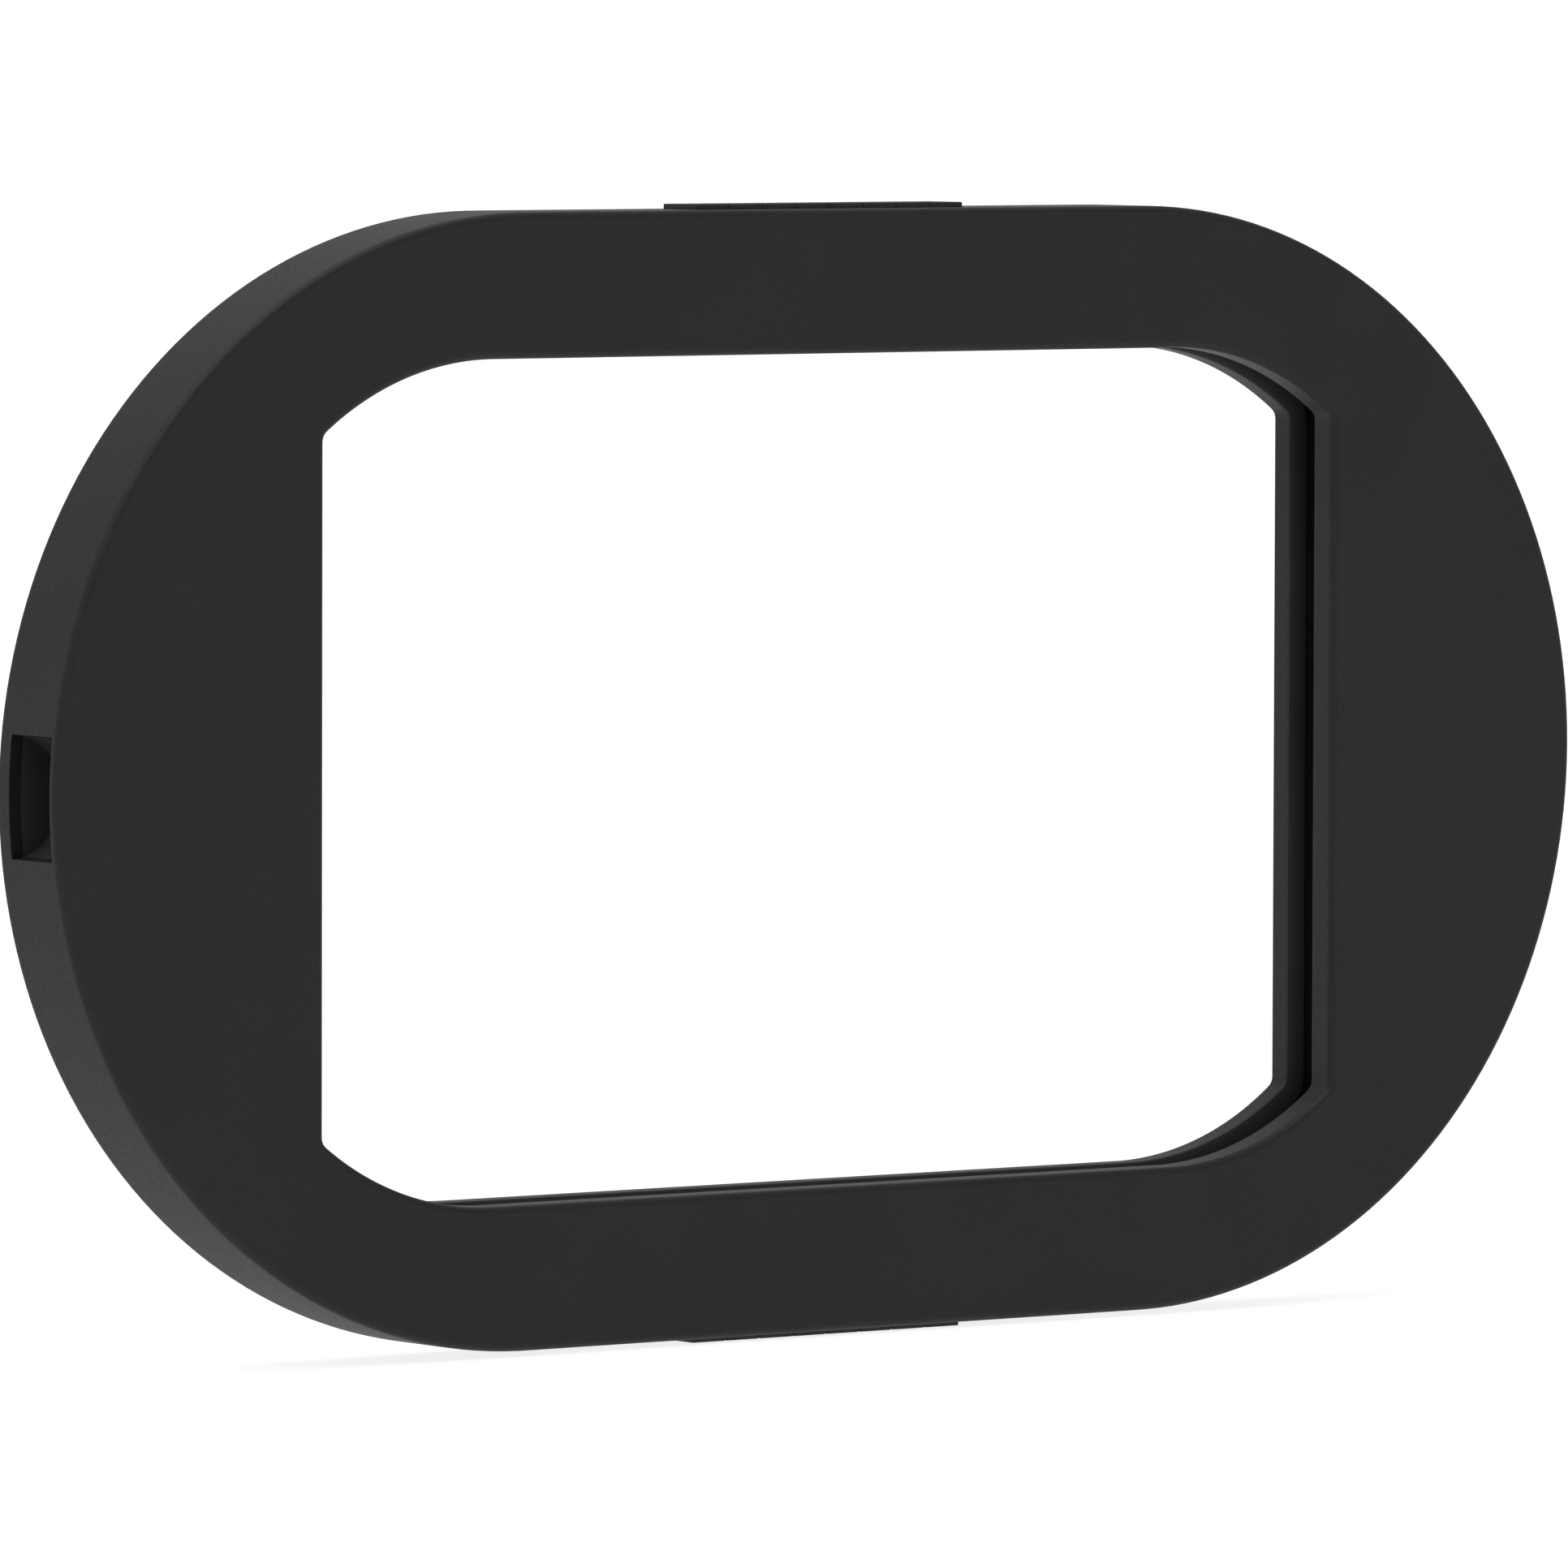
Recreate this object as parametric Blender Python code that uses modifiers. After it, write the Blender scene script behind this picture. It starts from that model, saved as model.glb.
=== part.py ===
"""Slim barn door attachment for a panel light: an obround two-shell housing with a wide opening.

Four thin leaves are stored inside the housing, two at the sides and two above and below. Each
slides into the opening from the groove round it and stays where friction holds it.
Depths are counted from the front face, which looks towards -Y. Sizes are in millimetres.
"""

from math import atan2, cos, degrees, pi, radians, sin, sqrt

import bmesh
import bpy
from mathutils import Matrix, Vector

MM = 0.001

# Housing
HALF_STRAIGHT = 68.3  # half of the straight run between the two round ends
END_RADIUS = 100.0
DEPTH = 17.6
WALL = 2.4  # outer side wall
FRONT_PLATE = 1.8
REAR_PLATE = 1.9
EDGE_ROUND = 1.25  # rounded front edges, outside and at the opening

# Opening, with its lips and the groove left between them
OPENING_HALF_WIDTH = 112.0
OPENING_HALF_HEIGHT = 74.3
CORNER_ARC_RADIUS = 58.7
CORNER_ARC_CENTRE = 75.4  # sideways from the middle of the opening
CORNER_FILLET = 2.2  # where a corner arc meets the upright side
LIP_WIDTH = 2.0
REAR_LIP_WIDTH = 4.2
FRONT_LIP = 5.7
REAR_LIP = 4.6

# Leaves
LEAF = 1.0
SIDE_TRAVEL = 30.0
TOP_TRAVEL = 16.0
SIDE_SETBACK = 3.0  # from the opening to the soft edge of a side leaf
TOP_SETBACK = 1.3
SOFT_EDGE_WIDTH = 2.8
SOFT_EDGE_DEPTH = 2.4
SOFT_EDGE_ROUND = 0.6
SIDE_ARM_LENGTH = 78.0
SIDE_ARM_WIDTH = 4.7
TOP_ARM_LENGTH = 45.0
TOP_ARM_WIDTH = 5.0
SIDE_ARM_GAP = 0.5  # from the lips to the arms of the side leaves
TOP_ARM_GAP = 3.2  # from the lips to the arms of the top and bottom leaves
DIVIDER = 0.7
DIVIDER_SETBACK = 6.2
LEAF_MARGIN = 1.2  # between the leaves and the side wall

# Finger notches, each the hollow of a cup that a side leaf carries
NOTCH_RADIUS = 10.8
NOTCH_REAR_WALL = 3.3
CUP_WALL = 1.5
CUP_WEB = 0.7
CUP_TONGUE_LENGTH = 10.0
CUP_TONGUE_HALF = 9.0
CUP_TONGUE = 1.5
RIVET_RADIUS = 1.2
RIVET_HEAD_RADIUS = 2.2
RIVET_HEAD = 0.5
RIVET_SPREAD = 6.0

# Guide rails
RAIL_BACK = 3.5
RAIL_GRIP = 1.2  # how deep an arm runs in its rail
SIDE_RAIL_TOP = 72.0
SIDE_RAIL_STOP = 2.0
TOP_RAIL_HALF = 106.0

# Screws, bosses and magnets
SCREW_RADIUS = 1.25
SCREW_HEAD_RADIUS = 2.3
SCREW_HEAD = 1.3
SCREW_LENGTH = 9.0
SOCKET_RADIUS = 1.0
SOCKET_DEPTH = 0.85
BOSS_WALL = 1.65
BAR_BOSS_X = 50.0
END_BOSS_Z = 40.0
MAGNET_RADIUS = 5.0
MAGNET = 2.2
MAGNET_X = 140.0
MAGNET_Z = 55.0
POCKET_WALL = 1.2

# Friction springs
SPRING = 0.4
SPRING_HALF_LENGTH = 13.0
SIDE_SPRING_WIDTH = 5.0
TOP_SPRING_WIDTH = 3.0
SIDE_SPRING_Z = 45.0
SIDE_SPRING_SHIFT = 2.9  # from the leaf's inner edge
TOP_SPRING_X = 40.0
TOP_SPRING_SHIFT = 1.7

# Raised grip strips on the top and bottom edges
STRIP_HALF_LENGTH = 29.6
STRIP_FRONT = 4.0
STRIP_DEPTH = 9.6
STRIP_RISE = 0.95
STRIP_SUNK = 1.0
STRIP_BLOCKS = 8
STRIP_GROOVE = 0.5

# Fits
GAP = 0.3  # between pieces that touch
SLIDE_GAP = 0.4  # beside anything that slides
HOLE_GAP = 0.3
OVERLAP = 1.0  # how far joined shapes run into each other
BEYOND = 4.0  # how far cutters run past a face
WELD = 0.001

ARC_STEPS = 36  # facets in a half circle of the housing
CORNER_STEPS = 12
ROUND_STEPS = 20
FILLET_STEPS = 3
SCREW_STEPS = 16
RIVET_STEPS = 12
MAGNET_STEPS = 20
SPRING_STEPS = 10

# Worked out from the sizes above
CENTRE_HEIGHT = END_RADIUS + STRIP_RISE
HALF_LENGTH = HALF_STRAIGHT + END_RADIUS
BACK_INSIDE = DEPTH - REAR_PLATE
GROOVE_REAR = DEPTH - REAR_LIP
SIDE_EDGE_FRONT = FRONT_LIP + SLIDE_GAP
SIDE_LEAF_FRONT = SIDE_EDGE_FRONT + (SOFT_EDGE_DEPTH - LEAF) / 2
SIDE_LEAF_REAR = SIDE_LEAF_FRONT + LEAF
TOP_EDGE_REAR = GROOVE_REAR - SLIDE_GAP
TOP_LEAF_REAR = TOP_EDGE_REAR - (SOFT_EDGE_DEPTH - LEAF) / 2
TOP_LEAF_FRONT = TOP_LEAF_REAR - LEAF
DIVIDER_FRONT = (FRONT_LIP + GROOVE_REAR - DIVIDER) / 2
DIVIDER_REAR = DIVIDER_FRONT + DIVIDER
SIDE_EDGE_X = OPENING_HALF_WIDTH + SIDE_SETBACK
SIDE_LEAF_X = SIDE_EDGE_X + SOFT_EDGE_WIDTH + GAP
TOP_EDGE_Z = OPENING_HALF_HEIGHT + TOP_SETBACK
TOP_LEAF_Z = TOP_EDGE_Z + SOFT_EDGE_WIDTH + GAP
SIDE_ARM_INNER = OPENING_HALF_HEIGHT + LIP_WIDTH + SIDE_ARM_GAP
SIDE_ARM_OUTER = SIDE_ARM_INNER + SIDE_ARM_WIDTH
TOP_ARM_INNER = OPENING_HALF_WIDTH + LIP_WIDTH + TOP_ARM_GAP
TOP_ARM_OUTER = TOP_ARM_INNER + TOP_ARM_WIDTH
RAIL_STOP = SIDE_LEAF_X - SIDE_ARM_LENGTH - SIDE_TRAVEL - 2 * GAP  # between the side leaves' arms
SIDE_RAIL_END = TOP_LEAF_Z - TOP_ARM_LENGTH - TOP_TRAVEL - GAP - SIDE_RAIL_STOP
CUP_RADIUS = NOTCH_RADIUS + CUP_WALL
BOSS_HOLE_RADIUS = SCREW_RADIUS + HOLE_GAP
BOSS_RADIUS = BOSS_HOLE_RADIUS + BOSS_WALL
BOSS_REACH = END_RADIUS - WALL - BOSS_RADIUS - 2 * GAP  # from the middle of a round end
HEAD_FRONT = DEPTH - SCREW_HEAD - GAP
HEAD_SEAT = HEAD_FRONT - GAP
PAD_FRONT = HEAD_SEAT - REAR_PLATE
POCKET_RADIUS = MAGNET_RADIUS + HOLE_GAP + POCKET_WALL
MAGNET_REAR = BACK_INSIDE - GAP
MAGNET_FRONT = MAGNET_REAR - MAGNET
NOTCH_REAR = DEPTH - NOTCH_REAR_WALL
TONGUE_REAR = SIDE_LEAF_FRONT - GAP
TONGUE_FRONT = TONGUE_REAR - CUP_TONGUE
TONGUE_X = HALF_LENGTH - CUP_RADIUS - CUP_TONGUE_LENGTH
RIVET_X = TONGUE_X + CUP_TONGUE_LENGTH / 2
RIVETS = [(-RIVET_X, -RIVET_SPREAD), (-RIVET_X, RIVET_SPREAD)]
BAR_BOSSES = [(x, z * BOSS_REACH) for x in (-BAR_BOSS_X, BAR_BOSS_X) for z in (-1, 1)]
END_BOSS_X = HALF_STRAIGHT + sqrt(BOSS_REACH**2 - END_BOSS_Z**2)
END_BOSSES = [(x * END_BOSS_X, z * END_BOSS_Z) for x in (-1, 1) for z in (-1, 1)]
MAGNETS = [(x * MAGNET_X, z * MAGNET_Z) for x in (-1, 1) for z in (-1, 1)]
BAR_MAGNET_Z = (TOP_LEAF_Z + END_RADIUS - WALL) / 2
MAGNETS += [(0.0, -BAR_MAGNET_Z), (0.0, BAR_MAGNET_Z)]


def circle(radius, x=0.0, z=0.0):
    """A round outline about (x, z), anticlockwise seen from the front."""
    angles = [2 * pi * i / ROUND_STEPS for i in range(ROUND_STEPS)]
    return [(x + radius * cos(angle), z + radius * sin(angle)) for angle in angles]


def rectangle(left, right, low, high):
    return [(left, low), (right, low), (right, high), (left, high)]


def arc(radius, x, z, start, end, steps):
    """Points on a circle about (x, z) from one angle to another, in degrees."""
    angles = [radians(start + (end - start) * i / steps) for i in range(steps + 1)]
    return [(x + radius * cos(angle), z + radius * sin(angle)) for angle in angles]


def housing(inset=0.0):
    """The obround outline of the housing, drawn in by `inset`."""
    radius = END_RADIUS - inset
    right = arc(radius, HALF_STRAIGHT, 0.0, -90, 90, ARC_STEPS)
    left = arc(radius, -HALF_STRAIGHT, 0.0, 90, 270, ARC_STEPS)
    return right + left


def opening(grow=0.0):
    """The outline of the opening: large corner arcs cut off by upright sides, with small fillets."""
    side = OPENING_HALF_WIDTH + grow
    fillet = CORNER_FILLET + grow
    radius = CORNER_ARC_RADIUS + grow
    arc_z = OPENING_HALF_HEIGHT - CORNER_ARC_RADIUS
    across = side - fillet - CORNER_ARC_CENTRE
    up = sqrt((radius - fillet) ** 2 - across**2)
    meet = degrees(atan2(up, across))
    corner = arc(fillet, side - fillet, arc_z + up, 0, meet, FILLET_STEPS)
    corner += arc(radius, CORNER_ARC_CENTRE, arc_z, meet, 90, CORNER_STEPS)[1:]
    upper = corner + [(-x, z) for x, z in reversed(corner)]
    return upper + [(-x, -z) for x, z in upper]


def depth(from_front):
    """The Y of a depth below the front face, with the housing's middle plane at Y = 0."""
    return (from_front - DEPTH / 2) * MM


def at(x, z, y=0.0):
    """A place beside and above the opening's middle; y is already in metres."""
    return Vector((x * MM, y, (CENTRE_HEIGHT + z) * MM))


def put(name, mesh, location=(0.0, 0.0, 0.0)):
    """A new object in the parts' collection."""
    obj = bpy.data.objects.new(name, mesh)
    obj.location = location
    PARTS.objects.link(obj)
    return obj


def plate(name, outlines, front, rear, edge_round=0.0):
    """A flat plate between two depths. Every outline after the first is a hole in it."""
    curve = bpy.data.curves.new(name, "CURVE")
    curve.dimensions = "2D"
    curve.fill_mode = "BOTH"
    curve.extrude = ((rear - front) / 2 - edge_round) * MM
    curve.bevel_depth = edge_round * MM
    curve.bevel_resolution = 2
    curve.offset = -edge_round * MM
    for outline in outlines:
        spline = curve.splines.new("POLY")
        spline.points.add(len(outline) - 1)
        for point, (x, z) in zip(spline.points, outline):
            point.co = (x * MM, z * MM, 0.0, 1.0)
        spline.use_cyclic_u = True
    drawn = put(name + "_outline", curve, (0.0, depth((front + rear) / 2), CENTRE_HEIGHT * MM))
    drawn.rotation_euler.x = radians(90)
    return solid_of_curve(drawn, name)


def solid_of_curve(drawn, name):
    """The curve object made a closed mesh object in the same place."""
    bpy.context.view_layer.update()
    graph = bpy.context.evaluated_depsgraph_get()
    mesh = bpy.data.meshes.new_from_object(drawn.evaluated_get(graph))
    weld(mesh)
    obj = put(name, mesh)
    obj.matrix_world = drawn.matrix_world
    bpy.data.objects.remove(drawn)
    return obj


def weld(mesh):
    work = bmesh.new()
    work.from_mesh(mesh)
    bmesh.ops.remove_doubles(work, verts=work.verts, dist=WELD * MM)
    bmesh.ops.recalc_face_normals(work, faces=work.faces)
    work.to_mesh(mesh)
    work.free()


def block(name, x, t, z, edge_round=0.0):
    """A box from two X, two depths and two heights above the opening's middle."""
    work = bmesh.new()
    bmesh.ops.create_cube(work, size=1.0)
    size = Vector((x[1] - x[0], t[1] - t[0], z[1] - z[0])) * MM
    bmesh.ops.scale(work, vec=size, verts=work.verts)
    mesh = bpy.data.meshes.new(name)
    work.to_mesh(mesh)
    work.free()
    middle = (sum(x) / 2 * MM, depth(sum(t) / 2), (CENTRE_HEIGHT + sum(z) / 2) * MM)
    obj = put(name, mesh, middle)
    if edge_round:
        bevel = obj.modifiers.new("rounded edges", "BEVEL")
        bevel.width = edge_round * MM
        bevel.segments = 2
    return obj


def turned(name, profile, steps):
    """A turned piece from (radius, height) points, top to bottom, with its top towards the rear."""
    mesh = bpy.data.meshes.new(name)
    points = [(radius * MM, 0.0, height * MM) for radius, height in profile]
    mesh.from_pydata(points, [(i, i + 1) for i in range(len(points) - 1)], [])
    obj = put(name, mesh)
    obj.rotation_euler.x = radians(-90)
    screw = obj.modifiers.new("turned", "SCREW")
    screw.steps = screw.render_steps = steps
    screw.use_merge_vertices = True
    screw.merge_threshold = WELD * MM
    screw.use_normal_calculate = False
    return obj


def combine(target, other, operation):
    """Cuts, joins or trims the target by another shape, which moves to the cutters."""
    boolean = target.modifiers.new(other.name, "BOOLEAN")
    boolean.operation = operation
    boolean.object = other
    other.hide_render = True
    other.display_type = "WIRE"
    PARTS.objects.unlink(other)
    CUTTERS.objects.link(other)


def cut(target, *cutters):
    for cutter in cutters:
        combine(target, cutter, "DIFFERENCE")


def join(target, *others):
    for other in others:
        combine(target, other, "UNION")


def trim(target, inset):
    """Keeps what lies inside the housing's outline drawn in by `inset`."""
    limit = plate(target.name + "_limit", [housing(inset)], -BEYOND, DEPTH + BEYOND)
    combine(target, limit, "INTERSECT")


def finished_mesh(obj, origin=(0.0, 0.0, 0.0)):
    """The piece's mesh with its modifiers applied, about an origin, for copies to share."""
    bpy.context.view_layer.update()
    graph = bpy.context.evaluated_depsgraph_get()
    mesh = bpy.data.meshes.new_from_object(obj.evaluated_get(graph))
    mesh.transform(Matrix.Translation(-Vector(origin)) @ obj.matrix_world)
    mesh.name = obj.name
    cutters = [modifier.object for modifier in obj.modifiers if modifier.type == "BOOLEAN"]
    for used in [obj, *cutters]:
        bpy.data.objects.remove(used)
    return mesh


def material(name, colour, roughness, metallic=0.0):
    made = bpy.data.materials.new(name)
    made.use_nodes = True
    shader = made.node_tree.nodes["Principled BSDF"]
    shader.inputs["Base Color"].default_value = (*colour, 1.0)
    shader.inputs["Roughness"].default_value = roughness
    shader.inputs["Metallic"].default_value = metallic
    return made


def finish(obj, surface):
    obj.data.materials.clear()
    obj.data.materials.append(surface)
    obj.data.shade_smooth()
    obj.data.set_sharp_from_angle(angle=radians(30))
    return obj


def circles(name, radius, places, front, rear):
    """Round posts of one radius at several places, as one shape."""
    return plate(name, [circle(radius, x, z) for x, z in places], front, rear)


def front_cover(surface):
    """The front shell: front plate, outer wall, front lip and screw bosses in one moulding."""
    bosses = BAR_BOSSES + END_BOSSES
    cover = plate("front_cover", [housing(), opening()], 0.0, DEPTH + BEYOND, EDGE_ROUND)
    hollow = [housing(WALL), opening(LIP_WIDTH)]
    cut(cover, plate("front_hollow", hollow, FRONT_PLATE, FRONT_LIP + OVERLAP))
    cut(cover, plate("main_hollow", [housing(WALL)], FRONT_LIP, DEPTH + 2 * BEYOND))
    beyond = rectangle(-2 * HALF_LENGTH, 2 * HALF_LENGTH, -2 * END_RADIUS, 2 * END_RADIUS)
    cut(cover, plate("rear_trim", [beyond], DEPTH, DEPTH + 3 * BEYOND))
    join(cover, circles("bosses", BOSS_RADIUS, bosses, FRONT_PLATE - OVERLAP, PAD_FRONT - GAP))
    hole_front = HEAD_FRONT - SCREW_LENGTH - 2 * GAP
    cut(cover, circles("boss_holes", BOSS_HOLE_RADIUS, bosses, hole_front, DEPTH))
    notches = [(-HALF_LENGTH, 0.0), (HALF_LENGTH, 0.0)]
    cut(cover, circles("notches", NOTCH_RADIUS, notches, FRONT_PLATE, NOTCH_REAR))
    half = STRIP_HALF_LENGTH + GAP
    floor = END_RADIUS - STRIP_SUNK
    beds = [
        rectangle(-half, half, floor, END_RADIUS + BEYOND),
        rectangle(-half, half, -END_RADIUS - BEYOND, -floor),
    ]
    cut(cover, plate("strip_beds", beds, STRIP_FRONT - GAP, STRIP_FRONT + STRIP_DEPTH + GAP))
    return finish(cover, surface)


def rear_cover(surface):
    """The rear shell inside the outer wall, with the rear lip, screw pads and magnet pockets."""
    bosses = BAR_BOSSES + END_BOSSES
    cover = plate("rear_cover", [housing(WALL + GAP), opening()], GROOVE_REAR, DEPTH)
    hollow = [housing(-BEYOND), opening(REAR_LIP_WIDTH)]
    cut(cover, plate("rear_hollow", hollow, GROOVE_REAR - BEYOND, BACK_INSIDE))
    join(cover, circles("screw_pads", BOSS_RADIUS, bosses, PAD_FRONT, BACK_INSIDE + OVERLAP))
    recess = SCREW_HEAD_RADIUS + HOLE_GAP
    cut(cover, circles("head_recesses", recess, bosses, HEAD_SEAT, DEPTH + BEYOND))
    front = PAD_FRONT - BEYOND
    cut(cover, circles("screw_holes", BOSS_HOLE_RADIUS, bosses, front, HEAD_SEAT + OVERLAP))
    join(cover, circles("magnet_pockets", POCKET_RADIUS, MAGNETS, MAGNET_FRONT, BACK_INSIDE + OVERLAP))
    hollow_front = MAGNET_FRONT - BEYOND
    cut(cover, circles("magnet_hollows", MAGNET_RADIUS + HOLE_GAP, MAGNETS, hollow_front, BACK_INSIDE))
    return finish(cover, surface)


def divider_plate(surface):
    """The thin sheet that keeps the side leaves and the top and bottom leaves apart."""
    sheet = plate(
        "divider_plate", [housing(WALL + GAP), opening(DIVIDER_SETBACK)], DIVIDER_FRONT, DIVIDER_REAR
    )
    front, rear = DIVIDER_FRONT - BEYOND, DIVIDER_REAR + BEYOND
    cut(sheet, circles("boss_clearances", BOSS_RADIUS + 2 * GAP, BAR_BOSSES + END_BOSSES, front, rear))
    reach = HALF_LENGTH - CUP_RADIUS - SIDE_TRAVEL - GAP
    half = CUP_RADIUS + GAP
    slots = [
        rectangle(reach, HALF_LENGTH + BEYOND, -half, half),
        rectangle(-HALF_LENGTH - BEYOND, -reach, -half, half),
    ]
    cut(sheet, plate("cup_slots", slots, front, rear))
    return finish(sheet, surface)


def side_leaf():
    """The left leaf: a D-shaped sheet with an arm along the upper and the lower rail."""
    outside = -HALF_LENGTH - BEYOND
    tip = SIDE_ARM_LENGTH - SIDE_LEAF_X
    outline = [
        (tip, SIDE_ARM_OUTER), (outside, SIDE_ARM_OUTER),
        (outside, -SIDE_ARM_OUTER), (tip, -SIDE_ARM_OUTER),
        (tip, -SIDE_ARM_INNER), (-SIDE_LEAF_X, -SIDE_ARM_INNER),
        (-SIDE_LEAF_X, SIDE_ARM_INNER), (tip, SIDE_ARM_INNER),
    ]  # fmt: skip
    leaf = plate("side_leaf", [outline], SIDE_LEAF_FRONT, SIDE_LEAF_REAR)
    trim(leaf, WALL + LEAF_MARGIN)
    front, rear = SIDE_LEAF_FRONT - BEYOND, SIDE_LEAF_REAR + BEYOND
    cut(leaf, circles("cup_clearance", CUP_RADIUS + GAP, [(-HALF_LENGTH, 0.0)], front, rear))
    around = BOSS_RADIUS + SLIDE_GAP
    places = [(-END_BOSS_X, -END_BOSS_Z), (-END_BOSS_X, END_BOSS_Z)]
    cut(leaf, circles("boss_rounds", around, places, front, rear))
    notches = [rectangle(outside, x, z - around, z + around) for x, z in places]
    cut(leaf, plate("boss_notches", notches, front, rear))
    cut(leaf, circles("rivet_holes", RIVET_RADIUS + HOLE_GAP, RIVETS, front, rear))
    return leaf


def top_leaf():
    """The upper leaf: a strip across the opening with an arm down each side."""
    outside = END_RADIUS + BEYOND
    tip = TOP_LEAF_Z - TOP_ARM_LENGTH
    outline = [
        (-TOP_ARM_OUTER, outside), (-TOP_ARM_OUTER, tip),
        (-TOP_ARM_INNER, tip), (-TOP_ARM_INNER, TOP_LEAF_Z),
        (TOP_ARM_INNER, TOP_LEAF_Z), (TOP_ARM_INNER, tip),
        (TOP_ARM_OUTER, tip), (TOP_ARM_OUTER, outside),
    ]  # fmt: skip
    leaf = plate("top_leaf", [outline], TOP_LEAF_FRONT, TOP_LEAF_REAR)
    trim(leaf, WALL + LEAF_MARGIN)
    front, rear = TOP_LEAF_FRONT - BEYOND, TOP_LEAF_REAR + BEYOND
    around = BOSS_RADIUS + SLIDE_GAP
    places = [(x, z) for x, z in BAR_BOSSES if z > 0]
    cut(leaf, circles("boss_rounds", around, places, front, rear))
    notches = [rectangle(x - around, x + around, z, outside) for x, z in places]
    cut(leaf, plate("boss_notches", notches, front, rear))
    return leaf


def thumb_cup():
    """The half-round cup behind a finger notch, with a rear web and a tongue riveted to the leaf."""
    centre = [(-HALF_LENGTH, 0.0)]
    front = FRONT_PLATE + GAP
    cup = circles("thumb_cup", CUP_RADIUS, centre, front, NOTCH_REAR + CUP_WEB)
    outline = rectangle(-HALF_LENGTH, -TONGUE_X, -CUP_TONGUE_HALF, CUP_TONGUE_HALF)
    join(cup, plate("tongue", [outline], TONGUE_FRONT, TONGUE_REAR))
    cut(cup, circles("cup_hollow", NOTCH_RADIUS, centre, front - BEYOND, NOTCH_REAR))
    trim(cup, WALL + GAP)
    cut(cup, circles("tongue_holes", RIVET_RADIUS + HOLE_GAP, RIVETS, front - BEYOND, NOTCH_REAR))
    return cup


def rivet(height):
    """A flat-headed rivet through the cup's tongue and the leaf, at a height above the middle."""
    length = SIDE_LEAF_REAR + GAP - (TONGUE_FRONT - GAP)
    profile = [
        (0.0, length + RIVET_HEAD), (RIVET_HEAD_RADIUS, length + RIVET_HEAD),
        (RIVET_HEAD_RADIUS, length), (RIVET_RADIUS, length), (RIVET_RADIUS, 0.0),
        (RIVET_HEAD_RADIUS, 0.0), (RIVET_HEAD_RADIUS, -RIVET_HEAD), (0.0, -RIVET_HEAD),
    ]  # fmt: skip
    pin = turned("rivet", profile, RIVET_STEPS)
    pin.location = at(-RIVET_X, height, depth(TONGUE_FRONT - GAP))
    return pin


def top_rail():
    """The rail above the opening, in front, where the upper arms of both side leaves run."""
    inner = SIDE_ARM_OUTER - RAIL_GRIP
    floor = SIDE_ARM_OUTER + GAP
    across = (-TOP_RAIL_HALF, TOP_RAIL_HALF)
    t = (FRONT_PLATE + GAP, DIVIDER_FRONT - GAP)
    rail = block("top_rail", across, t, (inner, floor + RAIL_BACK))
    slot = (SIDE_LEAF_FRONT - GAP, SIDE_LEAF_REAR + GAP)
    end = TOP_RAIL_HALF + BEYOND
    for name, x in (("left", (-end, -RAIL_STOP)), ("right", (RAIL_STOP, end))):
        cut(rail, block(name + "_slot", x, slot, (inner - BEYOND, floor)))
    return rail


def side_rail(name, way):
    """A rail beside the opening, behind the divider, where an arm of the top or bottom leaf runs."""
    inner = TOP_ARM_OUTER - RAIL_GRIP
    floor = TOP_ARM_OUTER + GAP
    z = sorted((way * SIDE_RAIL_END, way * SIDE_RAIL_TOP))
    outer = floor + RAIL_BACK
    rail = block(name, (-outer, -inner), (DIVIDER_REAR + GAP, BACK_INSIDE - GAP), z)
    slot = (TOP_LEAF_FRONT - GAP, TOP_LEAF_REAR + GAP)
    run = sorted((way * (SIDE_RAIL_END + SIDE_RAIL_STOP), way * (SIDE_RAIL_TOP + BEYOND)))
    cut(rail, block(name + "_slot", (-floor, -inner + BEYOND), slot, run))
    stop = sorted((way * SIDE_RAIL_END, way * (SIDE_RAIL_END + SIDE_RAIL_STOP)))
    join(rail, block(name + "_stop", (-inner - OVERLAP, -TOP_ARM_INNER - GAP), slot, stop))
    return rail


def spring(name, crest, feet, width):
    """A bowed strip along X: its feet at one depth, its crest at the other, for its middle surface."""
    mesh = bpy.data.meshes.new(name)
    work = bmesh.new()
    bmesh.ops.create_grid(work, x_segments=SPRING_STEPS, y_segments=1, size=0.5)
    for vertex in work.verts:
        along, across = vertex.co.x * 2, vertex.co.y
        bow = feet + (crest - feet) * cos(along * pi / 2)
        vertex.co = (along * SPRING_HALF_LENGTH * MM, depth(bow), across * width * MM)
    work.to_mesh(mesh)
    work.free()
    strip = put(name, mesh)
    wall = strip.modifiers.new("sheet", "SOLIDIFY")
    wall.thickness = SPRING * MM
    wall.offset = 0.0
    return strip


def screw():
    """A socket screw about the middle of its head's underside, with its head towards the rear."""
    profile = [
        (0.0, SCREW_HEAD), (SCREW_HEAD_RADIUS, SCREW_HEAD), (SCREW_HEAD_RADIUS, 0.0),
        (SCREW_RADIUS, 0.0), (SCREW_RADIUS, -SCREW_LENGTH), (0.0, -SCREW_LENGTH),
    ]  # fmt: skip
    made = turned("screw", profile, SCREW_STEPS)
    corners = [(SOCKET_RADIUS * cos(i * pi / 3), SOCKET_RADIUS * sin(i * pi / 3)) for i in range(6)]
    socket = plate("socket", [corners], 0.0, SOCKET_DEPTH + BEYOND)
    socket.location = (0.0, (SCREW_HEAD + (BEYOND - SOCKET_DEPTH) / 2) * MM, 0.0)
    cut(made, socket)
    return made


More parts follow.
